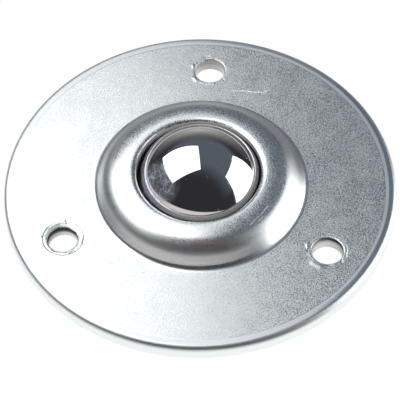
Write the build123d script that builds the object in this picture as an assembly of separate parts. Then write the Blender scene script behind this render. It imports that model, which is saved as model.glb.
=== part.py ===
from build123d import *
import math
import os

# Flange ball transfer unit: a polished load ball turning on a bed of small
# running balls, in a round pressed-steel flange unit with three fixing holes.
# Millimetres. +Z up. The origin is the centre of the flange's underside, which
# is the plane that sits on the deck. One fixing hole lies on +Y.

# ---- driving dimensions -------------------------------------------------
FLANGE_D = 76.2          # outside diameter of the flange, over the rim
SHEET = 1.5              # thickness of both pressings
STACK = 2 * SHEET        # flange thickness, cover on base
EDGE_ROLL = 1.1          # outer radius where the cover turns down into its rim
RIM_WALL = 1.3           # thickness of the turned-down rim
RIM_FOOT_ROUND = 0.3     # rounding at the rim's lower outer edge
STAKE = 0.55             # chamfer on the base's edge that the rim closes over
STAKE_GAP = 0.05         # play between the rim and the base's edge

HOLE_D = 6.0             # fixing holes
HOLE_PCD = 58.0
HOLE_COUNT = 3
HOLE_ROUND = 0.3         # drawn-in rounding at the top of each fixing hole

BALL_D = 25.4            # load ball
BALL_Z = 1.25            # height of its centre above the flange's underside

DOME_TOP_R = 13.35       # radius of the ring along which the dome is highest
DOME_TOP_Z = 7.82        # its height
DOME_ARC_R = 9.0         # outside radius of the dome's top, seen in section
DOME_TURN_DEG = 17.5     # slope where the top runs into the shoulder
SHOULDER_R = 5.35        # outside radius of the shoulder
WALL_DEG = 58.6          # slope of the straight wall under the shoulder
DOME_FOOT_R = 1.5        # fillet at the dome's foot, outside
OPENING_D = 24.2         # ball opening in the dome, at its upper edge
OPENING_LOW_D = 24.08    # and at its lower edge
LIP_CURL_R = 1.28        # outside radius where the dome's top turns down to the opening
LIP_CURL_DEG = 42.0      # slope that this turn reaches
LIP_ROUND_TOP = 0.25
LIP_ROUND_LOW = 0.12
LIP_LOW_Z = 6.35         # height of the opening's lower edge
LIP_THIN_R = 13.6        # the sheet is thinned from this radius inward

RUN_BALL_D = 3.175       # small running balls
RUN_CLEAR = 0.03         # play on each side of a running ball
ROW_STEP_DEG = 13.2      # angle between rows, seen from the load ball's centre
ROW_COUNT = 6

RACE_WALL = 1.4          # hardened race
RACE_SEAT_GAP = 0.02     # play between the race and the base
BASE_BEND_R = 1.0        # bend between the base's flange and its cup, underside
CUP_FLAT_Z = -17.0       # small flat pressed in the bottom of the cup

RING_T = 0.7             # retaining ring
RING_ID = 25.9
RING_OD = 37.6

FELT_OD = 32.0           # felt seal
FELT_TOP_Z = 5.7
FELT_GAP = 0.15          # play between the felt and the load ball

# ---- derived ------------------------------------------------------------
RF = FLANGE_D / 2
RB = BALL_D / 2
RRB = RUN_BALL_D / 2
PITCH_R = RB + RRB + RUN_CLEAR
RACE_R = RB + RUN_BALL_D + 2 * RUN_CLEAR
RACE_RO = RACE_R + RACE_WALL
CUP_R = RACE_RO + RACE_SEAT_GAP
CUP_RO = CUP_R + SHEET
RO = OPENING_D / 2

os.makedirs("parts", exist_ok=True)


def P(r, z):
    return Vector(r, 0, z)


def line(a, b):
    return Edge.make_line(P(*a), P(*b))


def arc(c, rad, a0, a1):
    """Arc about c, angles in degrees from +r towards +z."""
    pts = [P(c[0] + rad * math.cos(math.radians(t)),
             c[1] + rad * math.sin(math.radians(t)))
           for t in (a0, (a0 + a1) / 2, a1)]
    return Edge.make_three_point_arc(*pts)


def turned(edges):
    """A solid of revolution about Z from a closed (radius, z) outline."""
    return revolve(Face(Wire(edges)), Axis.Z, 360)


def ring_edges(solid, radius, z, tol=0.02):
    """Circular edges about Z with this radius and height."""
    out = []
    for e in solid.edges().filter_by(GeomType.CIRCLE):
        c = e.arc_center
        if (abs(e.radius - radius) < tol and abs(c.Z - z) < tol
                and math.hypot(c.X, c.Y) < tol):
            out.append(e)
    return out


def hole_edges(solid, radius, z, tol=0.02):
    """Circular edges of the fixing holes at this height."""
    out = []
    for e in solid.edges().filter_by(GeomType.CIRCLE):
        c = e.arc_center
        if (abs(e.radius - radius) < tol and abs(c.Z - z) < tol
                and abs(math.hypot(c.X, c.Y) - HOLE_PCD / 2) < tol):
            out.append(e)
    return out


def fixing_holes():
    tools = []
    for i in range(HOLE_COUNT):
        a = math.radians(90 + i * 360 / HOLE_COUNT)
        tools.append(Pos(HOLE_PCD / 2 * math.cos(a), HOLE_PCD / 2 * math.sin(a), STACK / 2)
                     * Cylinder(HOLE_D / 2, 4 * STACK))
    return tools


# ---- flange cover: upper pressing, dome, opening and turned-down rim ------
top_z = STACK
turn, wall = math.radians(DOME_TURN_DEG), math.radians(WALL_DEG)
out_n = (math.sin(wall), math.cos(wall))          # the wall's outward direction
top_c = (DOME_TOP_R, DOME_TOP_Z - DOME_ARC_R)
shoulder_c = (top_c[0] + (DOME_ARC_R - SHOULDER_R) * math.sin(turn),
              top_c[1] + (DOME_ARC_R - SHOULDER_R) * math.cos(turn))
# straight wall, from the shoulder down to the foot fillet
wall_up = (shoulder_c[0] + SHOULDER_R * out_n[0], shoulder_c[1] + SHOULDER_R * out_n[1])
wall_low_z = top_z + DOME_FOOT_R * (1 - math.cos(wall))
wall_low = (wall_up[0] + (wall_up[1] - wall_low_z) / math.tan(wall), wall_low_z)
foot_c = (wall_low[0] + DOME_FOOT_R * out_n[0], top_z + DOME_FOOT_R)
wall_up_in = (wall_up[0] - SHEET * out_n[0], wall_up[1] - SHEET * out_n[1])
wall_low_in = (wall_low[0] - SHEET * out_n[0], wall_low[1] - SHEET * out_n[1])
r_in = DOME_ARC_R - SHEET
# the top turns down to the opening: each arc runs into the next, the last into the bore
curl_end = math.radians(LIP_CURL_DEG)
curl_r = RO + LIP_ROUND_TOP + (LIP_CURL_R - LIP_ROUND_TOP) * math.sin(curl_end)
curl_start = math.asin((top_c[0] - curl_r) / (DOME_ARC_R - LIP_CURL_R))
curl_c = (curl_r, top_c[1] + (DOME_ARC_R - LIP_CURL_R) * math.cos(curl_start))
edge_c = (RO + LIP_ROUND_TOP, curl_c[1] + (LIP_CURL_R - LIP_ROUND_TOP) * math.cos(curl_end))
start_a, end_a = 90 + math.degrees(curl_start), 90 + LIP_CURL_DEG
low_c = (OPENING_LOW_D / 2 + LIP_ROUND_LOW, LIP_LOW_Z + LIP_ROUND_LOW)
low_a = math.radians(-80)
low_end = (low_c[0] + LIP_ROUND_LOW * math.cos(low_a), low_c[1] + LIP_ROUND_LOW * math.sin(low_a))
thin = (LIP_THIN_R, top_c[1] + math.sqrt(r_in ** 2 - (LIP_THIN_R - top_c[0]) ** 2))
thin_a = math.degrees(math.atan2(thin[1] - top_c[1], thin[0] - top_c[0]))
lip_top_z = edge_c[1] + LIP_ROUND_TOP * math.cos(curl_end)
rim_in = RF - RIM_WALL
stake_r = rim_in - STAKE + 0.021

cover = turned([
    line(thin, low_end),
    arc(low_c, LIP_ROUND_LOW, -80, -180),
    line((low_c[0] - LIP_ROUND_LOW, low_c[1]), (RO, edge_c[1])),
    arc(edge_c, LIP_ROUND_TOP, 180, end_a),
    arc(curl_c, LIP_CURL_R, end_a, start_a),
    arc(top_c, DOME_ARC_R, start_a, 90 - DOME_TURN_DEG),
    arc(shoulder_c, SHOULDER_R, 90 - DOME_TURN_DEG, 90 - WALL_DEG),
    line(wall_up, wall_low),
    arc(foot_c, DOME_FOOT_R, 270 - WALL_DEG, 270),
    line((foot_c[0], top_z), (RF - EDGE_ROLL, top_z)),
    arc((RF - EDGE_ROLL, top_z - EDGE_ROLL), EDGE_ROLL, 90, 0),
    line((RF, top_z - EDGE_ROLL), (RF, 0)),
    line((RF, 0), (stake_r, 0)),
    line((stake_r, 0), (rim_in, rim_in - stake_r)),
    line((rim_in, rim_in - stake_r), (rim_in, top_z - SHEET)),
    line((rim_in, top_z - SHEET), (foot_c[0], top_z - SHEET)),
    arc(foot_c, DOME_FOOT_R + SHEET, 270, 270 - WALL_DEG),
    line(wall_low_in, wall_up_in),
    arc(shoulder_c, SHOULDER_R - SHEET, 90 - WALL_DEG, 90 - DOME_TURN_DEG),
    arc(top_c, r_in, 90 - DOME_TURN_DEG, thin_a),
])
for tool in fixing_holes():
    cover = cover - tool
cover = fillet(hole_edges(cover, HOLE_D / 2, top_z), HOLE_ROUND)
cover = fillet(ring_edges(cover, RF, 0), RIM_FOOT_ROUND)
export_step(cover.solids()[0], "parts/flange_cover.step")

# ---- base cup: lower pressing, flat flange drawn down into a round cup ----
mid = CUP_RO + BASE_BEND_R
bend_z = -BASE_BEND_R
bend_r = math.sqrt(mid ** 2 - (bend_z - BALL_Z) ** 2)
bend_c = (bend_r, bend_z)
tilt = math.degrees(math.atan2(BALL_Z - bend_z, bend_r))   # slope of the cup at the bend
flat_r = math.sqrt(CUP_RO ** 2 - (CUP_FLAT_Z - BALL_Z) ** 2)
flat_a = math.degrees(math.atan2(CUP_FLAT_Z - BALL_Z, flat_r))
plate_r = rim_in - STAKE_GAP

base = turned([
    arc((0, BALL_Z), CUP_R, -90, -tilt),
    arc(bend_c, BASE_BEND_R + SHEET, 180 - tilt, 90),
    line((bend_r, SHEET), (plate_r, SHEET)),
    line((plate_r, SHEET), (plate_r, STAKE)),
    line((plate_r, STAKE), (plate_r - STAKE, 0)),
    line((plate_r - STAKE, 0), (bend_r, 0)),
    arc(bend_c, BASE_BEND_R, 90, 180 - tilt),
    arc((0, BALL_Z), CUP_RO, -tilt, flat_a),
    line((flat_r, CUP_FLAT_Z), (0, CUP_FLAT_Z)),
    line((0, CUP_FLAT_Z), (0, BALL_Z - CUP_R)),
])
for tool in fixing_holes():
    base = base - tool
export_step(base.solids()[0], "parts/base_cup.step")

# ---- race: hardened round-bottomed cup that the small balls run in --------
race = turned([
    arc((0, BALL_Z), RACE_R, -90, 0),
    line((RACE_R, BALL_Z), (RACE_R, SHEET)),
    line((RACE_R, SHEET), (RACE_RO, SHEET)),
    line((RACE_RO, SHEET), (RACE_RO, BALL_Z)),
    arc((0, BALL_Z), RACE_RO, 0, -90),
    line((0, BALL_Z - RACE_RO), (0, BALL_Z - RACE_R)),
])
export_step(race.solids()[0], "parts/race_cup.step")

# ---- retaining ring: flat ring on the race's rim, keeps the small balls in -
ring = turned([
    line((RING_ID / 2, SHEET), (RING_OD / 2, SHEET)),
    line((RING_OD / 2, SHEET), (RING_OD / 2, SHEET + RING_T)),
    line((RING_OD / 2, SHEET + RING_T), (RING_ID / 2, SHEET + RING_T)),
    line((RING_ID / 2, SHEET + RING_T), (RING_ID / 2, SHEET)),
])
export_step(ring.solids()[0], "parts/retaining_ring.step")

# ---- felt seal: wipes the load ball under the opening ---------------------
fr = RB + FELT_GAP
z0, z1 = SHEET + RING_T, FELT_TOP_Z
a0 = math.degrees(math.asin((z0 - BALL_Z) / fr))
a1 = math.degrees(math.asin((z1 - BALL_Z) / fr))
felt = turned([
    arc((0, BALL_Z), fr, a1, a0),
    line((fr * math.cos(math.radians(a0)), z0), (FELT_OD / 2, z0)),
    line((FELT_OD / 2, z0), (FELT_OD / 2, z1)),
    line((FELT_OD / 2, z1), (fr * math.cos(math.radians(a1)), z1)),
])
export_step(felt.solids()[0], "parts/felt_seal.step")

# ---- load ball -----------------------------------------------------------
ball = Pos(0, 0, BALL_Z) * Rot(0, 90, 0) * Sphere(RB)
export_step(ball.solids()[0], "parts/load_ball.step")

# ---- running balls: one at the bottom, then rows round the vertical axis --
bottom = Pos(0, 0, BALL_Z - PITCH_R) * Sphere(RRB)
export_step(bottom.solids()[0], "parts/running_ball_bottom.step")
total = 1
for k in range(1, ROW_COUNT + 1):
    th = math.radians(k * ROW_STEP_DEG)
    rr = PITCH_R * math.sin(th)
    zz = BALL_Z - PITCH_R * math.cos(th)
    n = int(math.pi / math.asin((RRB + RUN_CLEAR) / rr))
    balls = []
    for i in range(n):
        a = 2 * math.pi * (i + 0.5 * (k % 2)) / n
        balls.append((Pos(rr * math.cos(a), rr * math.sin(a), zz) * Sphere(RRB)).solids()[0])
    total += n
    export_step(Compound(children=balls), "parts/running_balls_row_%d.step" % k)

print("flange thickness %.3f, dome crest %.3f, lip %.3f to %.3f, ball top %.3f, cup bottom %.3f, running balls %d"
      % (top_z, DOME_TOP_Z, LIP_LOW_Z, lip_top_z, BALL_Z + RB, CUP_FLAT_Z, total))
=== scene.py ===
import math
import random

import bmesh
import bpy
import numpy as np
from mathutils import Matrix, Vector


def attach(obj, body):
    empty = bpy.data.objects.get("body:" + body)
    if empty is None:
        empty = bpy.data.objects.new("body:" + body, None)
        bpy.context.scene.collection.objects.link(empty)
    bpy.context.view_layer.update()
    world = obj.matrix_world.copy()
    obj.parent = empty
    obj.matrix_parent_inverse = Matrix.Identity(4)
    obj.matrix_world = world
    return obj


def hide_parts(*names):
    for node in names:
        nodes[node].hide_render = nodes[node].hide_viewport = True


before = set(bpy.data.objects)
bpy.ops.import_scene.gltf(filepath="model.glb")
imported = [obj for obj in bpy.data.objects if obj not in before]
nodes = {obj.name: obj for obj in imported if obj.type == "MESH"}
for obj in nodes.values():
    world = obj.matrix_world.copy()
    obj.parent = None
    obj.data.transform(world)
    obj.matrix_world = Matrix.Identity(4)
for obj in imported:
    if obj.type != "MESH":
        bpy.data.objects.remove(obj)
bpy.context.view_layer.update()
MM = 0.001

# ---- dimensions of the cover, in millimetres, as in the CAD model ------------
RF = 38.1
TOP = 3.0
SHEET = 1.5
ROLL = 1.1
SLOPE_R, SLOPE = 36.5, 0.165   # the flange falls off slightly from here to the roll
RIM_WALL = 1.3
FOOT_ROUND = 0.3
STAKE_R = RF - RIM_WALL - 0.55 + 0.021
HOLE_R = 3.0
HOLE_RING = 29.0
HOLE_ROUND = 0.3
DOME_R, DOME_Z = 13.35, 7.82     # ring along which the dome is highest
ARC_R = 9.0                      # dome's top, in section
TURN = 17.5
SHOULDER_R = 5.35
WALL_DEG = 58.6
FOOT_R = 1.5
RO = 12.1
LIP_CURL, LIP_END = 1.28, 42.0   # the crown turns down towards the opening
LIP_EDGE = 0.25
LIP_LOW_R, LIP_LOW_Z = 0.12, 6.35  # rounding and height of its lower edge
RO_LOW = 12.04                   # the bore narrows a little downward
LIP_OFF = (-0.12, -0.22)         # the opening sits a little off the flange's centre
BALL_R = 12.7
BALL_Z = 1.25
CUP_BOTTOM = -17.0
BAND_R = 35.95          # inner edge of the burnished band along the rim
BAND_OFF = 0.15        # the band is a little off centre, wider on the far right
BAND_RISE = 0.004      # slope of that band, rising outward

# ---- small deterministic noise helpers --------------------------------------
def wave_noise(n_terms, top, seed):
    """A periodic function of angle with values of about -1 to 1."""
    g = random.Random(seed)
    terms = [(g.randint(2, top), g.uniform(0, 2 * math.pi), g.uniform(0.4, 1.0))
             for _ in range(n_terms)]
    norm = math.sqrt(sum(a * a for _, _, a in terms) / 2) * 1.6

    def f(t):
        return sum(a * math.sin(k * t + p) for k, p, a in terms) / norm
    return f


def smooth(a, b, x):
    t = min(1.0, max(0.0, (x - a) / (b - a)))
    return t * t * (3 - 2 * t)


# ---- outline of the cover ---------------------------------------------------
def off(c, rad, deg):
    """Point at distance rad from c, on the side that faces up at this slope."""
    return (c[0] + rad * math.sin(math.radians(deg)), c[1] + rad * math.cos(math.radians(deg)))


top_c = (DOME_R, DOME_Z - ARC_R)
shoulder_c = off(top_c, ARC_R - SHOULDER_R, TURN)
wall_up = off(shoulder_c, SHOULDER_R, WALL_DEG)
wall_low_z = TOP + FOOT_R * (1 - math.cos(math.radians(WALL_DEG)))
wall_low = (wall_up[0] + (wall_up[1] - wall_low_z) / math.tan(math.radians(WALL_DEG)), wall_low_z)
foot_c = off(wall_low, FOOT_R, WALL_DEG)
R_IN = ARC_R - SHEET


def arc_pts(c, rad, a0, a1, n):
    return [(c[0] + rad * math.cos(math.radians(a0 + (a1 - a0) * i / n)),
             c[1] + rad * math.sin(math.radians(a0 + (a1 - a0) * i / n))) for i in range(n + 1)]


def angle_of(c, p):
    return math.degrees(math.atan2(p[1] - c[1], p[0] - c[0]))


# the crown's turn towards the opening and its edge, tangent to each other and to the bore
curl_r = RO + LIP_EDGE + (LIP_CURL - LIP_EDGE) * math.sin(math.radians(LIP_END))
LIP_START = math.degrees(math.asin((top_c[0] - curl_r) / (ARC_R - LIP_CURL)))
curl_c = off(top_c, ARC_R - LIP_CURL, -LIP_START)
edge_c = off(curl_c, LIP_CURL - LIP_EDGE, -LIP_END)
# below, the sheet is thinned towards the lower edge of the opening
LOW_FROM = 13.6
low_from = (LOW_FROM, top_c[1] + math.sqrt(R_IN ** 2 - (LOW_FROM - top_c[0]) ** 2))
lc = (RO_LOW + LIP_LOW_R, LIP_LOW_Z + LIP_LOW_R)

PATCH_IN, PATCH_OUT = 24.2, 33.8

outline = arc_pts(lc, LIP_LOW_R, -80, -180, 5)
outline += [(RO_LOW + (RO - RO_LOW) * t, lc[1] + (edge_c[1] - lc[1]) * t) for t in (0.33, 0.66)]
outline += arc_pts(edge_c, LIP_EDGE, 180, 90 + LIP_END, 5)
outline += arc_pts(curl_c, LIP_CURL, 90 + LIP_END, 90 + LIP_START, 9)[1:]
outline += arc_pts(top_c, ARC_R, 90 + LIP_START, 90 - TURN, 13)[1:]
outline += arc_pts(shoulder_c, SHOULDER_R, 90 - TURN, 90 - WALL_DEG, 18)[1:]
outline += [(wall_up[0] + (wall_low[0] - wall_up[0]) * t, wall_up[1] + (wall_low[1] - wall_up[1]) * t)
            for t in (0.25, 0.5, 0.75)]
outline += arc_pts(foot_c, FOOT_R, 270 - WALL_DEG, 270, 12)
outline += [(r, TOP) for r in np.linspace(foot_c[0], PATCH_IN, 4)[1:]]
i_patch0 = len(outline) - 1
outline += [(r, TOP) for r in np.linspace(PATCH_IN, PATCH_OUT, 21)[1:]]
i_patch1 = len(outline) - 1
outline += [(r, TOP) for r in (34.4, 35.0, 35.5, 35.8, 35.9, 35.96, 36.02, 36.08, 36.2, 36.4, SLOPE_R)]
outline += [(SLOPE_R + d, TOP - SLOPE * max(0.0, d - 0.10) - 0.5 * SLOPE * min(d, 0.20) ** 2 / 0.20 + SLOPE * min(max(0.0, d - 0.10), 0.10))
            for d in (0.05, 0.10, 0.15, 0.20, 0.35, 0.50, 0.65)]
roll_h = TOP - SLOPE * 0.60 - (TOP - ROLL)
roll_w = (RF - SLOPE_R - 0.70) / (1.0 - math.sin(math.atan(SLOPE)))
outline += [(RF - roll_w + roll_w * math.sin(b), TOP - ROLL + roll_h * math.cos(b) / math.cos(math.atan(SLOPE)))
            for b in np.linspace(math.atan(SLOPE), math.pi / 2, 13)]
outline += [(RF, z) for z in (1.4, 0.9, 0.5)]
outline += arc_pts((RF - FOOT_ROUND, FOOT_ROUND), FOOT_ROUND, 0, -90, 5)
outline += [(37.3, 0.0), (36.8, 0.0), (STAKE_R + 0.06, 0.0)]
outline += [(STAKE_R, 0.03), (RF - RIM_WALL, RF - RIM_WALL - STAKE_R), (RF - RIM_WALL, TOP - SHEET)]
outline += [(r, TOP - SHEET) for r in (35.4, PATCH_OUT)]
i_under0 = len(outline) - 1
outline += [(r, TOP - SHEET) for r in np.linspace(PATCH_OUT, PATCH_IN, 7)[1:]]
i_under1 = len(outline) - 1
outline += [(r, TOP - SHEET) for r in (22.8,)]
outline += arc_pts(foot_c, FOOT_R + SHEET, 270, 270 - WALL_DEG, 6)
outline += arc_pts(shoulder_c, SHOULDER_R - SHEET, 90 - WALL_DEG, 90 - TURN, 7)
outline += arc_pts(top_c, R_IN, 90 - TURN, angle_of(top_c, low_from), 4)[1:]

N = 384
STEP = 2 * math.pi / N
PATCH_HALF = 11            # half-width of the patch round a fixing hole, in steps
HOLE_ANGLES = [math.radians(90 + 120 * i) for i in range(3)]

band_edge = wave_noise(14, 46, 5)
band_deep = wave_noise(9, 24, 6)


def shaped(k, r, z, t):
    """Point k of the outline at angle t, with the burnished band and its ragged inner edge."""
    if 35.6 < r <= RF and z > 1.85 and k < i_under0:
        edge = BAND_R - BAND_OFF * math.cos(t - 0.87) + 0.06 * band_edge(t) + 0.03 * band_deep(3 * t)
        if 35.85 < r < 36.15:
            r = r + (edge - BAND_R)
        # a small step down at the band's edge, then a slight rise to the rim
        lift = -0.010 * (0.8 + 0.3 * band_deep(t)) * smooth(edge - 0.05, edge + 0.05, r)
        lift += BAND_RISE * max(0.0, min(r, SLOPE_R) - edge)
        z = z + lift * smooth(1.85, 2.6, z)
        if r > SLOPE_R:
            full = TOP if r < RF - ROLL else TOP - ROLL + math.sqrt(max(0.0, ROLL ** 2 - (r - RF + ROLL) ** 2))
            z = z + (full - outline[k][1]) * (1.0 - smooth(0.20, 0.85, math.cos(t - 0.45)))
    o = smooth(14.4, 12.6, r)
    return (r * math.cos(t) + o * LIP_OFF[0], r * math.sin(t) + o * LIP_OFF[1], z)


verts = []
faces = []
grid = []
for k, (r, z) in enumerate(outline):
    row = []
    for j in range(N):
        row.append(len(verts))
        verts.append(shaped(k, r, z, STEP * j))
    grid.append(row)


def in_patch(j):
    for a in HOLE_ANGLES:
        d = (j + 0.5) * STEP - a
        d = (d + math.pi) % (2 * math.pi) - math.pi
        if abs(d) < PATCH_HALF * STEP:
            return True
    return False


K = len(outline)
for k in range(K):
    k2 = (k + 1) % K
    cut = i_patch0 <= k < i_patch1 or i_under0 <= k < i_under1
    for j in range(N):
        if cut and in_patch(j):
            continue
        j2 = (j + 1) % N
        faces.append((grid[k][j], grid[k][j2], grid[k2][j2], grid[k2][j]))


def hole_loop(k0, k1, a):
    """Vertices of the patch's edge, going round it, from the row k0 to the row k1."""
    j0 = round(a / STEP) - PATCH_HALF
    j1 = j0 + 2 * PATCH_HALF
    s = 1 if k1 > k0 else -1
    loop = [grid[k0][j % N] for j in range(j0, j1)]
    loop += [grid[k][j1 % N] for k in range(k0, k1, s)]
    loop += [grid[k1][j % N] for j in range(j1, j0, -1)]
    loop += [grid[k][j0 % N] for k in range(k1, k0, -s)]
    return loop


# marks left by the punch round each fixing hole, in millimetres from the hole's centre:
# (from, to, half-width, height); a height below zero is a groove or nick
MARKS = [
    [((-3.50, 1.15), (-3.40, 0.70), 0.26, 0.045), ((-3.05, -2.10), (-2.55, -2.75), 0.30, 0.045),
     ((-1.60, -3.25), (1.00, -3.45), 0.22, 0.022), ((-1.30, 3.55), (-0.50, 3.65), 0.30, -0.030),
     ((-0.20, 3.25), (0.35, 3.22), 0.16, 0.030), ((-1.45, 2.72), (-0.85, 2.92), 0.15, -0.12), ((2.72, -1.96), (2.95, -2.48), 0.14, -0.025)],
    [((0.20, 4.85), (0.16, 4.05), 0.10, -0.065), ((-4.15, 0.20), (-3.30, 0.75), 0.11, -0.060),
     ((-1.60, -2.75), (-1.10, -3.00), 0.20, -0.110), ((0.55, -3.15), (1.05, -3.10), 0.12, -0.060),
     ((1.90, 2.75), (2.35, 2.40), 0.20, -0.060), ((3.90, 0.60), (3.80, -1.00), 0.12, -0.040),
     ((2.60, -2.60), (1.70, -3.30), 0.12, -0.055)],
    [((-3.80, 1.15), (-3.72, 0.60), 0.34, 0.044), ((-3.50, -0.75), (-3.15, -1.60), 0.30, 0.024),
     ((-2.50, -2.85), (-1.20, -3.70), 0.65, 0.055), ((3.45, -0.20), (3.50, -1.20), 0.14, -0.026),
     ((2.80, -1.55), (2.75, -2.60), 0.14, -0.030), ((-0.80, 3.75), (0.90, 3.72), 0.13, -0.018),
     ((0.30, -3.42), (0.68, -3.40), 0.15, -0.030), ((1.25, -3.30), (1.60, -3.25), 0.15, 0.020)],
]
# a faint ring pressed round a hole, off its centre: (centre, radius, half-width, depth)
RINGS = [None, ((0.10, 0.14), 3.90, 0.12, 0.075), ((0.0, 0.05), 3.66, 0.10, 0.020)]
# the drawn-in ring at each hole: (mean width, how much wider and deeper on one side, that side's angle,
# least and greatest depth)
APRONS = [(0.34, 0.06, 2.4, 0.015, 0.03), (0.80, 0.08, 1.25, 0.03, 0.36), (0.34, 0.06, 1.6, 0.015, 0.04)]
# how far the edge is drawn in over the hole on that side
DRAWN = [0.04, 0.30, 0.05]



def mark_height(h, u, v):
    """Height of the marks at a point u, v from the centre of hole h."""
    total = 0.0
    for (u0, v0), (u1, v1), w, height in MARKS[h]:
        du, dv = u1 - u0, v1 - v0
        t = min(1.0, max(0.0, ((u - u0) * du + (v - v0) * dv) / (du * du + dv * dv)))
        d = math.hypot(u - u0 - t * du, v - v0 - t * dv)
        if d < 3 * w:
            total += height * math.exp(-(d / w) ** 2)
    if RINGS[h]:
        (cu, cv), rad, w, depth = RINGS[h]
        d = math.hypot(u - cu, v - cv) - rad
        total -= depth * math.exp(-(d / w) ** 2) * (0.75 + 0.25 * math.sin(5 * math.atan2(v, u) + 1.0))
    return total


def stitch(p, q, cx, cy):
    """Triangles between two closed loops round the same hole, whatever their counts."""
    def turned(loop):
        t = [math.atan2(verts[i][1] - cy, verts[i][0] - cx) for i in loop]
        for i in range(1, len(t)):
            while t[i] - t[i - 1] > math.pi:
                t[i] -= 2 * math.pi
            while t[i] - t[i - 1] < -math.pi:
                t[i] += 2 * math.pi
        return t
    tp, tq = turned(p), turned(q)
    s = 1 if tp[-1] > tp[0] else -1
    tp, tq = [s * t for t in tp], [s * t for t in tq]
    # start the second loop at the point nearest to the first one's start
    k = min(range(len(q)), key=lambda i: abs((tq[i] - tp[0] + math.pi) % (2 * math.pi) - math.pi))
    q = q[k:] + q[:k]
    tq = [(t - tp[0] + math.pi) % (2 * math.pi) - math.pi for t in tq[k:k + 1]] + [
        (t - tq[k]) % (2 * math.pi) for t in (tq[k + 1:] + tq[:k])]
    tq = [tq[0]] + [tq[0] + t for t in tq[1:]]
    tp = [t - tp[0] for t in tp]
    tp.append(2 * math.pi)
    tq.append(tq[0] + 2 * math.pi)
    i = j = 0
    while i < len(p) or j < len(q):
        a, b = p[i % len(p)], q[j % len(q)]
        if j >= len(q) or (i < len(p) and tp[i + 1] <= tq[j + 1]):
            faces.append((a, p[(i + 1) % len(p)], b))
            i += 1
        else:
            faces.append((a, q[(j + 1) % len(q)], b))
            j += 1


# (radius, height below the flange's face) across a fixing hole's drawn-in edge
EDGE = [(4.75 - 0.085 * i, 0.0) for i in range(16)]
for i in range(0, 10):
    b = math.radians(10 * i)
    EDGE.append((HOLE_R + HOLE_ROUND - HOLE_ROUND * math.sin(b), HOLE_ROUND * (1 - math.cos(b))))
WALL = [0.8, 1.0, 1.2, 1.36]
AROUND = 300               # points round a hole's edge

for h, a in enumerate(HOLE_ANGLES):
    wob = wave_noise(10, 22, 81 + h)
    fine = wave_noise(8, 40, 121 + h)
    cx, cy = HOLE_RING * math.cos(a), HOLE_RING * math.sin(a)
    upper = hole_loop(i_patch0, i_patch1, a)
    lower = hole_loop(i_under1, i_under0, a)
    way = sum(verts[p][0] * verts[q][1] - verts[q][0] * verts[p][1]
              for p, q in zip(upper, upper[1:] + upper[:1]))
    turn_way = 1 if way > 0 else -1

    def join(p, q):
        for i in range(len(p)):
            i2 = (i + 1) % len(p)
            faces.append((p[i], p[i2], q[i2], q[i]))

    def eased(loop, rad, mix, z):
        """A ring between a patch's edge and a circle of this radius."""
        out = []
        for v in loop:
            t = math.atan2(verts[v][1] - cy, verts[v][0] - cx)
            x, y = cx + rad * math.cos(t), cy + rad * math.sin(t)
            out.append(len(verts))
            verts.append((x + (verts[v][0] - x) * mix, y + (verts[v][1] - y) * mix, z))
        return out

    def circle(shape):
        """A ring of points from shape(angle) -> radius, z."""
        out = []
        for i in range(AROUND):
            t = turn_way * 2 * math.pi * i / AROUND
            rr, zz = shape(t)
            out.append(len(verts))
            verts.append((cx + rr * math.cos(t), cy + rr * math.sin(t), zz))
        return out

    r1 = eased(upper, 4.85, 0.6, TOP)
    r2 = eased(upper, 4.85, 0.25, TOP)
    r3 = eased(upper, 4.85, 0.0, TOP)
    join(upper, r1)
    join(r1, r2)
    join(r2, r3)
    last = None
    for rad, dz in EDGE:
        def at(t, rad=rad, dz=dz):
            lift = mark_height(h, rad * math.cos(t), rad * math.sin(t)) * smooth(4.75, 4.55, rad)
            inner = smooth(3.5, 3.05, rad)
            # the edge is drawn in over a ring that starts at a faint ragged line
            wide, more, side, least, most = APRONS[h]
            lean = DRAWN[h] * (0.5 + 0.5 * math.cos(t - side))
            out = rad + inner * (0.022 * wob(2 * t) + 0.010 * fine(2 * t) - 0.35 * lift - lean)
            start = HOLE_R + wide + more * math.cos(t - side) + 0.05 * wob(t) + 0.03 * fine(t)
            deep = least + (most - least) * (0.5 + 0.5 * math.cos(t - side)) ** 2.6
            lift -= deep * min(1.0, max(0.0, (start - rad) / (start - HOLE_R - 0.05)))
            lift -= 0.012 * math.exp(-((rad - start) / 0.08) ** 2) * (0.7 + 0.4 * fine(t))
            return out, TOP - dz + lift
        row = circle(at)
        if last is None:
            stitch(r3, row, cx, cy)
        else:
            join(last, row)
        last = row
    for dz in WALL:
        f = smooth(1.36, 0.6, dz)
        row = circle(lambda t: (HOLE_R + f * (0.022 * wob(2 * t) + 0.010 * fine(2 * t)
                                              - 0.35 * mark_height(h, HOLE_R * math.cos(t), HOLE_R * math.sin(t))
                                              - DRAWN[h] * (0.5 + 0.5 * math.cos(t - APRONS[h][2]))),
                                TOP - dz))
        join(last, row)
        last = row
    # underside of the cover's sheet round the hole
    bottom = circle(lambda t: (HOLE_R, TOP - SHEET))
    join(last, bottom)
    if (sum(verts[p][0] * verts[q][1] - verts[q][0] * verts[p][1]
            for p, q in zip(lower, lower[1:] + lower[:1])) > 0) != (way > 0):
        lower = lower[::-1]
    b1 = eased(lower, 4.2, 0.0, TOP - SHEET)
    stitch(bottom, b1, cx, cy)
    join(b1, lower)

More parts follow.
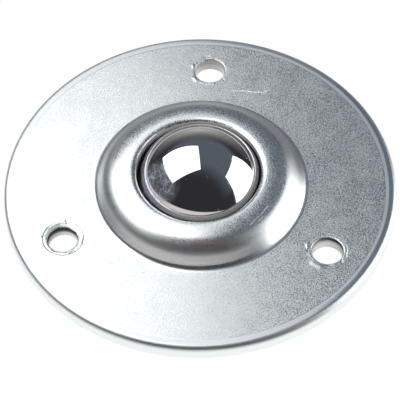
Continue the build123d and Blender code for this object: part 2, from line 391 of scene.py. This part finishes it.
mesh = bpy.data.meshes.new("flange_cover_pressing")
mesh.from_pydata([(x * MM, y * MM, z * MM) for x, y, z in verts], [], faces)
mesh.validate()
bm = bmesh.new()
bm.from_mesh(mesh)
bmesh.ops.remove_doubles(bm, verts=bm.verts, dist=1e-7)
bmesh.ops.recalc_face_normals(bm, faces=bm.faces)
bm.to_mesh(mesh)
bm.free()
mesh.polygons.foreach_set("use_smooth", [True] * len(mesh.polygons))
mesh.set_sharp_from_angle(angle=math.radians(50))
cover = bpy.data.objects.new("flange_cover_pressing", mesh)
bpy.context.scene.collection.objects.link(cover)


# ---- materials --------------------------------------------------------------
class Tree:
    """Short-hand for building one node material."""

    def __init__(self, name):
        self.mat = bpy.data.materials.new(name)
        self.mat.use_nodes = True
        self.t = self.mat.node_tree
        self.t.nodes.clear()
        self.out = self.t.nodes.new("ShaderNodeOutputMaterial")
        self.bsdf = self.t.nodes.new("ShaderNodeBsdfPrincipled")
        self.t.links.new(self.bsdf.outputs[0], self.out.inputs["Surface"])
        self.co = self.t.nodes.new("ShaderNodeTexCoord").outputs["Object"]

    def link(self, a, b):
        self.t.links.new(a, b)

    def put(self, socket, value):
        if hasattr(value, "is_output"):
            self.link(value, socket)
        else:
            socket.default_value = value

    def math(self, op, a, b=0.0, c=0.0, clamp=False):
        n = self.t.nodes.new("ShaderNodeMath")
        n.operation = op
        n.use_clamp = clamp
        self.put(n.inputs[0], a)
        self.put(n.inputs[1], b)
        self.put(n.inputs[2], c)
        return n.outputs[0]

    def noise(self, scale, detail=2.0, rough=0.5, vector=None, distort=0.0):
        n = self.t.nodes.new("ShaderNodeTexNoise")
        n.inputs["Scale"].default_value = scale
        n.inputs["Detail"].default_value = detail
        n.inputs["Roughness"].default_value = rough
        n.inputs["Distortion"].default_value = distort
        self.link(vector or self.co, n.inputs["Vector"])
        return n.outputs["Fac"]

    def ramp(self, value, lo, hi, a=0.0, b=1.0, kind="SMOOTHSTEP"):
        n = self.t.nodes.new("ShaderNodeMapRange")
        n.interpolation_type = kind
        n.clamp = True
        self.put(n.inputs["Value"], value)
        n.inputs["From Min"].default_value = lo
        n.inputs["From Max"].default_value = hi
        n.inputs["To Min"].default_value = a
        n.inputs["To Max"].default_value = b
        return n.outputs["Result"]

    def mix(self, fac, a, b):
        n = self.t.nodes.new("ShaderNodeMix")
        n.data_type = "RGBA"
        self.put(n.inputs["Factor"], fac)
        for s, v in ((n.inputs[6], a), (n.inputs[7], b)):
            if hasattr(v, "is_output"):
                self.link(v, s)
            else:
                s.default_value = (v[0], v[1], v[2], 1.0)
        return n.outputs[2]

    def lerp(self, fac, a, b):
        n = self.t.nodes.new("ShaderNodeMix")
        n.data_type = "FLOAT"
        self.put(n.inputs["Factor"], fac)
        self.put(n.inputs[2], a)
        self.put(n.inputs[3], b)
        return n.outputs[0]

    def vec(self, op, a, b):
        n = self.t.nodes.new("ShaderNodeVectorMath")
        n.operation = op
        for s, v in ((n.inputs[0], a), (n.inputs[1], b)):
            if hasattr(v, "is_output"):
                self.link(v, s)
            else:
                s.default_value = v
        return n.outputs["Value"] if op in ("DOT_PRODUCT", "LENGTH", "DISTANCE") else n.outputs["Vector"]

    def bump(self, height, distance, strength=1.0, normal=None):
        n = self.t.nodes.new("ShaderNodeBump")
        n.inputs["Strength"].default_value = strength if not hasattr(strength, "is_output") else 1.0
        if hasattr(strength, "is_output"):
            self.link(strength, n.inputs["Strength"])
        n.inputs["Distance"].default_value = distance
        self.link(height, n.inputs["Height"])
        if normal is not None:
            self.link(normal, n.inputs["Normal"])
        return n.outputs["Normal"]

    def radius(self):
        """Distance from the part's upright axis, in metres, and the height."""
        s = self.t.nodes.new("ShaderNodeSeparateXYZ")
        self.link(self.co, s.inputs[0])
        x, y, z = s.outputs
        r = self.math("SQRT", self.math("ADD", self.math("MULTIPLY", x, x), self.math("MULTIPLY", y, y)))
        return r, z, x, y

    def punched(self, x, y, z):
        """1 on the walls of the fixing holes, 0 elsewhere."""
        near = None
        for a in HOLE_ANGLES:
            dx = self.math("SUBTRACT", x, HOLE_RING * MM * math.cos(a))
            dy = self.math("SUBTRACT", y, HOLE_RING * MM * math.sin(a))
            d = self.math("SQRT", self.math("ADD", self.math("MULTIPLY", dx, dx), self.math("MULTIPLY", dy, dy)))
            near = d if near is None else self.math("MINIMUM", near, d)
        n = self.t.nodes.new("ShaderNodeTexCoord").outputs["Normal"]
        steep = self.ramp(self.vec("DOT_PRODUCT", n, (0.0, 0.0, 1.0)), 0.80, 0.45)
        around = self.ramp(near, 0.00346, 0.00334)
        return self.math("MULTIPLY", self.math("MULTIPLY", around, steep), self.ramp(z, 0.00300, 0.00290)), around

    def wall_top_shade(self, x, y, z, noise):
        """1 on the upper part of the two nearer holes' walls, where painted shade darkens them; 0 below it."""
        edge = self.math("ADD", z, self.math("MULTIPLY", self.math("SUBTRACT", noise, 0.5), 0.0007))
        left = self.math("MULTIPLY", self.ramp(edge, 0.0006, 0.0015), self.ramp(x, 0.004, -0.004))
        right = self.math("MULTIPLY", self.ramp(edge, 0.0017, 0.0025), self.ramp(x, 0.0215, 0.0262, 0.45, 1.0))
        return self.math("MULTIPLY", self.math("MAXIMUM", left, right), self.ramp(y, 0.010, -0.010, 0.12, 1.0))

    def rings(self, r, z, x, y):
        """Fine drawn lines that run round the axis."""
        n = self.t.nodes.new("ShaderNodeCombineXYZ")
        self.link(self.math("MULTIPLY", r, 2400.0), n.inputs[0])
        self.link(self.math("MULTIPLY", z, 2400.0), n.inputs[1])
        self.link(self.math("MULTIPLY", self.math("ARCTAN2", y, self.math("MULTIPLY", x, -1.0)), 2.2), n.inputs[2])
        return self.noise(1.0, 3.0, 0.6, vector=n.outputs[0])

    def tilted(self, normal, amount, toward):
        """The normal leaned towards a direction by an amount."""
        lean = self.t.nodes.new("ShaderNodeVectorMath")
        lean.operation = "SCALE"
        lean.inputs[0].default_value = toward
        self.put(lean.inputs["Scale"], amount)
        both = self.t.nodes.new("ShaderNodeVectorMath")
        both.operation = "ADD"
        self.link(normal, both.inputs[0])
        self.link(lean.outputs[0], both.inputs[1])
        unit = self.t.nodes.new("ShaderNodeVectorMath")
        unit.operation = "NORMALIZE"
        self.link(both.outputs[0], unit.inputs[0])
        return unit.outputs[0]

    def streak(self, x, y, a, b, width):
        """A soft line mark from a to b (millimetres) in the flange's plane: 1 on it, 0 away from it."""
        ax, ay, bx, by = a[0] * MM, a[1] * MM, b[0] * MM, b[1] * MM
        dx, dy = bx - ax, by - ay
        ll = dx * dx + dy * dy
        px = self.math("SUBTRACT", x, ax)
        py = self.math("SUBTRACT", y, ay)
        t = self.math("ADD", self.math("MULTIPLY", px, dx / ll), self.math("MULTIPLY", py, dy / ll), clamp=True)
        ex = self.math("SUBTRACT", px, self.math("MULTIPLY", t, dx))
        ey = self.math("SUBTRACT", py, self.math("MULTIPLY", t, dy))
        d = self.math("SQRT", self.math("ADD", self.math("MULTIPLY", ex, ex), self.math("MULTIPLY", ey, ey)))
        return self.ramp(d, width * MM, 0.0)


def zinc_cover():
    m = Tree("zinc_plate_bright")
    r, z, x, y = m.radius()
    grain = m.noise(2700.0, 1.0, 0.5)
    fine = m.noise(5600.0, 0.0, 0.5)
    mottle = m.noise(420.0, 3.0, 0.55)
    cloud = m.noise(70.0, 2.0, 0.5)
    hole, around = m.punched(x, y, z)
    # the drawn wall at the dome's foot and the burnished band are smooth; the rest keeps the plate's grain
    wall = m.math("MULTIPLY", m.ramp(r, 0.0181, 0.0190), m.ramp(r, 0.0214, 0.0209))
    bx = m.math("ADD", x, BAND_OFF * math.cos(0.87) * MM)
    by = m.math("ADD", y, BAND_OFF * math.sin(0.87) * MM)
    rb = m.math("SQRT", m.math("ADD", m.math("MULTIPLY", bx, bx), m.math("MULTIPLY", by, by)))
    band = m.ramp(rb, (BAND_R - 0.10) * MM, (BAND_R + 0.10) * MM)
    slope = m.ramp(r, 0.03645, 0.03665)
    roll = m.ramp(r, 0.03722, 0.03745)
    flat = m.math("MULTIPLY", m.ramp(r, 0.0209, 0.0214), m.math("SUBTRACT", 1.0, band))
    crown = m.ramp(r, 0.0190, 0.0181)
    grainy = m.math("ADD", flat, m.math("MULTIPLY", crown, m.ramp(r, 0.0148, 0.0172, 0.70, 0.48)), clamp=True)
    spot = m.math("ADD", m.math("MULTIPLY", grain, 0.18), m.math("MULTIPLY", fine, 0.82))
    tone = m.ramp(m.math("ADD", m.math("MULTIPLY", spot, 0.75), m.math("MULTIPLY", mottle, 0.25)), 0.38, 0.62, 0.0, 1.0, "LINEAR")
    dark = m.mix(tone, (0.72, 0.755, 0.76), (0.89, 0.925, 0.92))
    plain = m.mix(cloud, (0.85, 0.895, 0.905), (0.90, 0.94, 0.95))
    base = m.mix(grainy, plain, dark)
    # a faint brown tint in a streak on the dome's near shoulder
    tint = m.math("MULTIPLY", m.streak(x, y, (0.6, -17.2), (5.6, -16.7), 1.6), m.ramp(mottle, 0.30, 0.55))
    base = m.mix(m.math("MULTIPLY", tint, 0.9), base, (0.84, 0.68, 0.64))
    # painted shade: the upper part of the two nearer holes' walls is coloured almost black; below it the wall keeps a
    # grey tone
    cut = m.mix(m.wall_top_shade(x, y, z, mottle), m.mix(grain, (0.58, 0.565, 0.555), (0.76, 0.74, 0.73)), (0.045, 0.044, 0.043))
    base = m.mix(hole, base, cut)
    # the opening's cut edge is dull
    ox = m.math("SUBTRACT", x, LIP_OFF[0] * MM)
    oy = m.math("SUBTRACT", y, LIP_OFF[1] * MM)
    bore = m.ramp(m.math("SQRT", m.math("ADD", m.math("MULTIPLY", ox, ox), m.math("MULTIPLY", oy, oy))),
                  (RO + 0.10) * MM, (RO + 0.03) * MM)
    base = m.mix(bore, base, m.mix(mottle, (0.66, 0.66, 0.65), (0.80, 0.80, 0.79)))
    marks = [m.math("MULTIPLY", m.streak(x, y, a, b, w), k) for a, b, w, k in SCRATCHES]
    mark = marks[0]
    for k in marks[1:]:
        mark = m.math("MAXIMUM", mark, k)
    mark = m.math("MULTIPLY", mark, m.ramp(grain, 0.30, 0.48))
    base = m.mix(mark, base, (0.90, 0.91, 0.89))
    m.link(base, m.bsdf.inputs["Base Color"])
    m.link(m.math("SUBTRACT", m.lerp(bore, 1.0, 0.35), m.math("MULTIPLY", mark, 0.25)), m.bsdf.inputs["Metallic"])
    rough = m.math("ADD", m.math("MULTIPLY", flat, FLAT_ROUGH), m.math("MULTIPLY", crown, CROWN_ROUGH))
    rough = m.math("ADD", rough, m.math("MULTIPLY", wall, WALL_ROUGH))
    rough = m.math("ADD", rough, m.math("MULTIPLY", band, m.lerp(roll, m.lerp(m.math("MULTIPLY", slope, m.ramp(x, 0.018, 0.030)), BAND_ROUGH, SLOPE_ROUGH), ROLL_ROUGH)))
    broad = m.noise(190.0, 3.0, 0.6)
    vary = m.math("ADD", m.math("MULTIPLY", m.math("SUBTRACT", spot, 0.5), GRAIN_ROUGH),
                  m.math("ADD", m.math("MULTIPLY", m.math("SUBTRACT", mottle, 0.5), 0.08),
                         m.math("MULTIPLY", m.math("SUBTRACT", broad, 0.5), 0.16)))
    rough = m.math("ADD", rough, m.math("MULTIPLY", vary, grainy))
    drawn = m.math("MULTIPLY", m.math("SUBTRACT", m.rings(r, z, x, y), 0.5), m.math("MULTIPLY", m.ramp(r, 0.0172, 0.0186), m.ramp(r, 0.0210, 0.0204)))
    rough = m.math("ADD", rough, m.math("MULTIPLY", drawn, 0.14))
    # the shoulder that the die has rubbed is duller
    rough = m.math("ADD", rough, m.math("MULTIPLY", m.math("MULTIPLY", m.ramp(r, 0.0164, 0.0173), m.ramp(r, 0.0194, 0.0185)), 0.08))
    rough = m.math("ADD", rough, m.math("MULTIPLY", m.math("MULTIPLY", vary, wall), 0.20))
    rough = m.math("ADD", rough, m.math("MULTIPLY", around, 0.12))
    rough = m.lerp(m.math("MAXIMUM", hole, bore), rough, 0.52)
    rough = m.math("ADD", rough, m.math("MULTIPLY", mark, 0.08))
    m.link(rough, m.bsdf.inputs["Roughness"])
    height = m.math("ADD", m.math("MULTIPLY", spot, grainy), m.math("MULTIPLY", m.math("MULTIPLY", mottle, grainy), 0.35))
    n1 = m.bump(height, GRAIN_BUMP)
    n2 = m.bump(m.math("ADD", mark, m.math("MULTIPLY", drawn, 0.35)), 0.000030, 1.0, n1)
    # a burr along each scratch leans its edge to the left
    m.link(m.tilted(n2, mark, (-0.24, 0.0, 0.0)), m.bsdf.inputs["Normal"])
    return m.mat


FLAT_ROUGH, CROWN_ROUGH, WALL_ROUGH, BAND_ROUGH, SLOPE_ROUGH, ROLL_ROUGH = 0.30, 0.295, 0.30, 0.37, 0.26, 0.40
GRAIN_ROUGH = 0.78
GRAIN_BUMP = 0.000010

# light marks on the upper pressing: (from, to, half-width, strength), in millimetres
SCRATCHES = [
    ((5.1, 24.0), (7.2, 24.15), 0.32, 0.4),
    ((7.2, 24.15), (9.0, 23.9), 0.28, 0.45),
    ((9.0, 23.9), (11.0, 23.9), 0.26, 0.55),
    ((11.0, 23.9), (12.4, 24.6), 0.24, 0.5),
    ((10.5, -12.4), (11.9, -10.6), 0.11, 0.6),
    ((12.2, -10.2), (13.6, -8.0), 0.10, 0.6),
    ((11.9, -11.3), (12.7, -10.4), 0.08, 0.6),
    ((17.3, 24.6), (16.6, 23.2), 0.14, 0.5),
    ((29.6, 14.9), (29.2, 13.4), 0.22, 0.22),
    ((31.9, -4.6), (34.0, -4.1), 0.30, 0.16),
    ((32.2, -8.4), (33.6, -8.3), 0.26, 0.16),
]


def plain_metal(name, lo, hi, rough, spread, scale, bump, detail=3.0):
    m = Tree(name)
    a = m.noise(scale, detail, 0.55)
    b = m.noise(scale * 0.12, 2.0, 0.5)
    tone = m.ramp(m.math("ADD", m.math("MULTIPLY", a, 0.5), m.math("MULTIPLY", b, 0.5)), 0.35, 0.65, 0.0, 1.0, "LINEAR")
    m.link(m.mix(tone, lo, hi), m.bsdf.inputs["Base Color"])
    m.bsdf.inputs["Metallic"].default_value = 1.0
    m.link(m.ramp(a, 0.3, 0.7, rough - spread, rough + spread), m.bsdf.inputs["Roughness"])
    m.link(m.bump(a, bump), m.bsdf.inputs["Normal"])
    return m.mat


def ball_steel():
    m = Tree("ball_mirror_steel")
    cloud = m.noise(90.0, 2.0, 0.5)
    base = m.mix(cloud, (0.77, 0.76, 0.765), (0.81, 0.80, 0.80))
    # a film of handling marks on one side, broken into small cells
    c = Vector(SMUDGE).normalized() * BALL_R * MM + Vector((0, 0, BALL_Z * MM))
    d = m.vec("DISTANCE", m.co, tuple(c))
    area = m.ramp(d, 0.0054, 0.0028)
    vor = m.t.nodes.new("ShaderNodeTexVoronoi")
    vor.feature = "DISTANCE_TO_EDGE"
    vor.inputs["Scale"].default_value = 980.0
    bend = m.t.nodes.new("ShaderNodeTexNoise")
    bend.inputs["Scale"].default_value = 700.0
    bend.inputs["Detail"].default_value = 2.0
    m.link(m.co, bend.inputs["Vector"])
    m.link(m.vec("ADD", m.co, m.vec("MULTIPLY", bend.outputs["Color"], (0.0005, 0.0005, 0.0005))), vor.inputs["Vector"])
    cells = m.ramp(vor.outputs["Distance"], 0.14, 0.0)
    patchy = m.ramp(m.noise(420.0, 3.0, 0.6), 0.34, 0.66)
    film = m.math("MULTIPLY", area, m.math("MULTIPLY", m.math("ADD", m.math("MULTIPLY", m.math("MULTIPLY", cells, m.ramp(m.noise(900.0, 2.0, 0.6), 0.36, 0.60)), 0.62), 0.27), m.math("ADD", 0.50, m.math("MULTIPLY", patchy, 0.50))))
    m.link(m.mix(m.math("MULTIPLY", film, 2.4, clamp=True), base, (0.64, 0.69, 0.83)), m.bsdf.inputs["Base Color"])
    # dust and small dull specks here and there
    fleck = m.ramp(m.noise(1500.0, 1.0, 0.5), 0.715, 0.77)
    m.link(m.math("SUBTRACT", 1.0, m.math("MULTIPLY", film, 1.1)), m.bsdf.inputs["Metallic"])
    rough = m.math("ADD", 0.016, m.math("MULTIPLY", film, 0.10))
    rough = m.math("ADD", rough, m.math("MULTIPLY", fleck, 0.30))
    smear = m.ramp(m.noise(210.0, 5.0, 0.66, distort=0.6), 0.42, 0.70)
    rough = m.math("ADD", rough, m.math("MULTIPLY", smear, 0.10))
    # a fine curved scratch
    r, z, x, y = m.radius()
    line = None
    for a, b in zip(BALL_SCRATCH, BALL_SCRATCH[1:]):
        k = m.streak(x, y, a, b, 0.13)
        line = k if line is None else m.math("MAXIMUM", line, k)
    line = m.math("MULTIPLY", line, m.ramp(z, 0.0040, 0.0050))
    rough = m.math("ADD", rough, m.math("MULTIPLY", line, 0.22))
    m.link(rough, m.bsdf.inputs["Roughness"])
    return m.mat


BALL_SCRATCH = [(8.29, 1.42), (9.06, 1.30), (9.84, 1.03), (10.46, 0.20)]
SMUDGE = (-0.600, -0.440, 0.668)


def felt():
    m = Tree("felt_oiled")
    a = m.noise(2200.0, 4.0, 0.65)
    m.link(m.mix(a, (0.10, 0.096, 0.088), (0.29, 0.275, 0.255)), m.bsdf.inputs["Base Color"])
    m.bsdf.inputs["Roughness"].default_value = 0.95
    m.bsdf.inputs["Specular IOR Level"].default_value = 0.2
    m.link(m.bump(a, 0.00008), m.bsdf.inputs["Normal"])
    return m.mat


def dress(name, mat):
    o = nodes[name]
    for s in o.material_slots:
        s.material = mat


cover.data.materials.append(zinc_cover())
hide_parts("flange_cover")
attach(cover, "housing")



def zinc_base():
    m = Tree("zinc_plate_drawn")
    r, z, x, y = m.radius()
    a = m.noise(1500.0, 3.0, 0.55)
    b = m.noise(180.0, 2.0, 0.5)
    hole, around = m.punched(x, y, z)
    tone = m.ramp(m.math("ADD", m.math("MULTIPLY", a, 0.5), m.math("MULTIPLY", b, 0.5)), 0.35, 0.65, 0.0, 1.0, "LINEAR")
    base = m.mix(tone, (0.70, 0.72, 0.735), (0.85, 0.865, 0.875))
    # painted shade: the upper part of the two nearer holes' walls is coloured dark grey
    m.link(m.mix(hole, base, m.mix(m.wall_top_shade(x, y, z, b), (0.80, 0.78, 0.77), (0.10, 0.10, 0.10))), m.bsdf.inputs["Base Color"])
    m.bsdf.inputs["Metallic"].default_value = 1.0
    m.link(m.lerp(hole, m.ramp(a, 0.3, 0.7, 0.24, 0.34), 0.50), m.bsdf.inputs["Roughness"])
    m.link(m.bump(a, 0.000006), m.bsdf.inputs["Normal"])
    return m.mat


dress("base_cup", zinc_base())
dress("race_cup", plain_metal("race_hardened", (0.33, 0.33, 0.34), (0.50, 0.50, 0.51), 0.22, 0.05, 1200.0, 0.000003))
dress("retaining_ring", plain_metal("ring_pressed", (0.48, 0.49, 0.50), (0.66, 0.67, 0.68), 0.30, 0.06, 1500.0, 0.000005))
dress("felt_seal", felt())
dress("load_ball", ball_steel())
run = plain_metal("running_ball_steel", (0.66, 0.66, 0.67), (0.80, 0.80, 0.81), 0.07, 0.03, 700.0, 0.0000005)
for n in nodes:
    if n.startswith("running_ball"):
        dress(n, run)

# ---- camera -----------------------------------------------------------------
AZ = math.radians(5.26)
EL = math.radians(52.42)
DIST = 0.3799
target = Vector((0, 0, TOP * MM))
back = Vector((math.sin(AZ) * math.cos(EL), -math.cos(AZ) * math.cos(EL), math.sin(EL)))
cam_data = bpy.data.cameras.new("view")
cam_data.sensor_width = 36.0
cam_data.lens = 1960.0 / 400.0 * 36.0
cam_data.clip_start = 0.01
cam_data.clip_end = 20.0
cam = bpy.data.objects.new("view", cam_data)
bpy.context.scene.collection.objects.link(cam)
rot = (-back).to_track_quat("-Z", "Y").to_matrix()
rot = rot @ Matrix.Rotation(math.radians(-1.66), 3, "Z") @ Matrix.Rotation(-math.atan(16.2 / 1960.0), 3, "X")
cam.matrix_world = Matrix.Translation(target + back * DIST) @ rot.to_4x4()
bpy.context.scene.camera = cam

# ---- floor and studio light ---------------------------------------------------
turn_z = Matrix.Rotation(AZ, 3, "Z")


def soft_box(name, p0, p1, p3, scale, radiance, colour):
    """A rectangular light through three corners given as directions times distance, facing the part."""
    a, b, c = (turn_z @ (Vector(p) * scale) for p in (p0, p1, p3))
    ex, ey = b - a, c - a
    centre = a + ex / 2 + ey / 2
    data = bpy.data.lights.new(name, "AREA")
    data.shape = "RECTANGLE"
    data.size, data.size_y = ex.length, ey.length
    data.energy = radiance * math.pi * ex.length * ey.length
    data.color = colour
    o = bpy.data.objects.new(name, data)
    bpy.context.scene.collection.objects.link(o)
    zx = ex.normalized()
    zz = ex.cross(ey).normalized()
    if zz.dot(centre) < 0:
        zz = -zz
    zy = zz.cross(zx)
    o.matrix_world = Matrix.Translation(centre + Vector((0, 0, BALL_Z * MM))) @ Matrix((zx, zy, zz)).transposed().to_4x4()
    o.visible_camera = False
    return o


soft_box("soft_left", (-0.7313, 0.5612, 0.3355), (-0.0194, 0.7392, 0.7738), (-0.6840, -0.2289, 0.5738), 0.55, 1.85, (1.0, 0.995, 0.99))
soft_box("soft_right", (0.880, 0.674, 0.526), (0.8015, -0.153, 0.809), (0.8345, 0.380, -0.305), 0.55, 2.2, (1.0, 0.995, 0.99))


def disc(name, radius, z, n=96):
    me = bpy.data.meshes.new(name)
    me.from_pydata([(radius * math.cos(2 * math.pi * i / n), radius * math.sin(2 * math.pi * i / n), z) for i in range(n)],
                   [], [tuple(range(n))])
    o = bpy.data.objects.new(name, me)
    bpy.context.scene.collection.objects.link(o)
    return o


floor = disc("floor", 0.16, CUP_BOTTOM * MM)
fm = bpy.data.materials.new("floor_pale")
fm.use_nodes = True
ft = fm.node_tree
ft.nodes.clear()
f_out = ft.nodes.new("ShaderNodeOutputMaterial")
f_em = ft.nodes.new("ShaderNodeEmission")
f_em.inputs["Color"].default_value = (1.0, 1.0, 1.0, 1.0)
# the floor glows: evenly white to the eye; as light seen in the metal it is dimmer under the flange, a painted shadow,
# and dims far off
f_co = ft.nodes.new("ShaderNodeTexCoord")
f_len = ft.nodes.new("ShaderNodeVectorMath")
f_len.operation = "LENGTH"
ft.links.new(f_co.outputs["Object"], f_len.inputs[0])


def floor_ramp(lo, hi, a, b):
    n = ft.nodes.new("ShaderNodeMapRange")
    n.interpolation_type = "SMOOTHSTEP"
    ft.links.new(f_len.outputs["Value"], n.inputs["Value"])
    for k, v in (("From Min", lo), ("From Max", hi), ("To Min", a), ("To Max", b)):
        n.inputs[k].default_value = v
    return n.outputs["Result"]


f_shade = ft.nodes.new("ShaderNodeMath")
f_shade.operation = "MULTIPLY"
ft.links.new(floor_ramp(0.034, 0.047, 0.60, 1.03), f_shade.inputs[0])
ft.links.new(floor_ramp(0.070, 0.130, 1.0, 0.52), f_shade.inputs[1])
f_lp = ft.nodes.new("ShaderNodeLightPath")
f_max = ft.nodes.new("ShaderNodeMath")
f_max.operation = "MAXIMUM"
ft.links.new(f_shade.outputs[0], f_max.inputs[0])
ft.links.new(f_lp.outputs["Is Camera Ray"], f_max.inputs[1])
ft.links.new(f_max.outputs[0], f_em.inputs["Strength"])
f_tr = ft.nodes.new("ShaderNodeBsdfTransparent")
f_mix = ft.nodes.new("ShaderNodeMixShader")
f_geo = ft.nodes.new("ShaderNodeNewGeometry")
ft.links.new(f_geo.outputs["Backfacing"], f_mix.inputs[0])
ft.links.new(f_em.outputs[0], f_mix.inputs[1])
ft.links.new(f_tr.outputs[0], f_mix.inputs[2])
ft.links.new(f_mix.outputs[0], f_out.inputs["Surface"])
floor.data.materials.append(fm)


def room():
    """Dim studio round the part: darker towards the camera, a pale card low in front, white to the camera itself."""
    w = bpy.data.worlds.new("studio")
    w.use_nodes = True
    t = w.node_tree
    t.nodes.clear()
    out = t.nodes.new("ShaderNodeOutputWorld")
    bg = t.nodes.new("ShaderNodeBackground")
    white = t.nodes.new("ShaderNodeBackground")
    white.inputs["Color"].default_value = (1, 1, 1, 1)
    white.inputs["Strength"].default_value = 1.0
    sw = t.nodes.new("ShaderNodeMixShader")
    lp = t.nodes.new("ShaderNodeLightPath")
    t.links.new(lp.outputs["Is Camera Ray"], sw.inputs[0])
    t.links.new(bg.outputs[0], sw.inputs[1])
    t.links.new(white.outputs[0], sw.inputs[2])
    t.links.new(sw.outputs[0], out.inputs["Surface"])
    co = t.nodes.new("ShaderNodeTexCoord").outputs["Generated"]

    def dot(v):
        n = t.nodes.new("ShaderNodeVectorMath")
        n.operation = "DOT_PRODUCT"
        t.links.new(co, n.inputs[0])
        n.inputs[1].default_value = v
        return n.outputs["Value"]

    def ramp(value, lo, hi, a=0.0, b=1.0, kind="SMOOTHSTEP"):
        n = t.nodes.new("ShaderNodeMapRange")
        n.interpolation_type = kind
        t.links.new(value, n.inputs["Value"])
        n.inputs["From Min"].default_value = lo
        n.inputs["From Max"].default_value = hi
        n.inputs["To Min"].default_value = a
        n.inputs["To Max"].default_value = b
        return n.outputs["Result"]

    def mix(fac, a, b):
        n = t.nodes.new("ShaderNodeMix")
        n.data_type = "RGBA"
        t.links.new(fac, n.inputs["Factor"])
        for s, v in ((n.inputs[6], a), (n.inputs[7], b)):
            if hasattr(v, "is_output"):
                t.links.new(v, s)
            else:
                s.default_value = (v[0], v[1], v[2], 1.0)
        return n.outputs[2]

    def mul(a, b):
        n = t.nodes.new("ShaderNodeMath")
        n.operation = "MULTIPLY"
        t.links.new(a, n.inputs[0])
        t.links.new(b, n.inputs[1])
        return n.outputs[0]

    def scaled(a, k, plus):
        n = t.nodes.new("ShaderNodeMath")
        n.operation = "MULTIPLY_ADD"
        t.links.new(a, n.inputs[0])
        n.inputs[1].default_value = k
        n.inputs[2].default_value = plus
        return n.outputs[0]

    def root(a, b):
        n = t.nodes.new("ShaderNodeMath")
        n.operation = "ADD"
        t.links.new(a, n.inputs[0])
        t.links.new(b, n.inputs[1])
        q = t.nodes.new("ShaderNodeMath")
        q.operation = "SQRT"
        t.links.new(n.outputs[0], q.inputs[0])
        return q.outputs[0]

    up = dot((0, 0, 1))
    side = dot(tuple(turn_z @ Vector((1, 0, 0))))
    dim = dot(tuple(turn_z @ Vector((-0.235, -0.876, 0.42))))
    col = mix(ramp(up, 0.28, 0.52), (0.036, 0.034, 0.039), (0.108, 0.128, 0.160))
    col = mix(ramp(dim, 0.12, 0.72), col, (0.032, 0.032, 0.036))
    # a pale sweep behind the part, seen as a low arch
    away = dot(tuple(turn_z @ Vector((0, 1, 0))))
    wide = scaled(side, 1 / 0.80, 0.0)
    high = scaled(up, 1 / 0.53, 0.05 / 0.53)
    reach = root(mul(wide, wide), mul(high, high))
    arch = ramp(reach, 1.0, 0.0, 0.0, 1.0, "LINEAR")
    arch = mul(mul(arch, scaled(arch, 0.5, 0.5)), ramp(away, 0.0, 0.15))
    col = mix(arch, col, (0.56, 0.55, 0.545))
    # a pale card low in front, with a straight upper edge
    front = dot(tuple(turn_z @ Vector((0.33 * -0.342, 0.33 * -0.94, -1.0))))
    card = ramp(front, 0.082, 0.098)
    col = mix(card, col, (0.76, 0.71, 0.705))
    t.links.new(col, bg.inputs["Color"])
    bg.inputs["Strength"].default_value = 1.0
    return w


bpy.context.scene.world = room()
bpy.context.scene.view_settings.view_transform = "Standard"
bpy.context.scene.view_settings.look = "None"
bpy.context.scene.view_settings.exposure = 0.0
bpy.context.scene.view_settings.gamma = 1.0
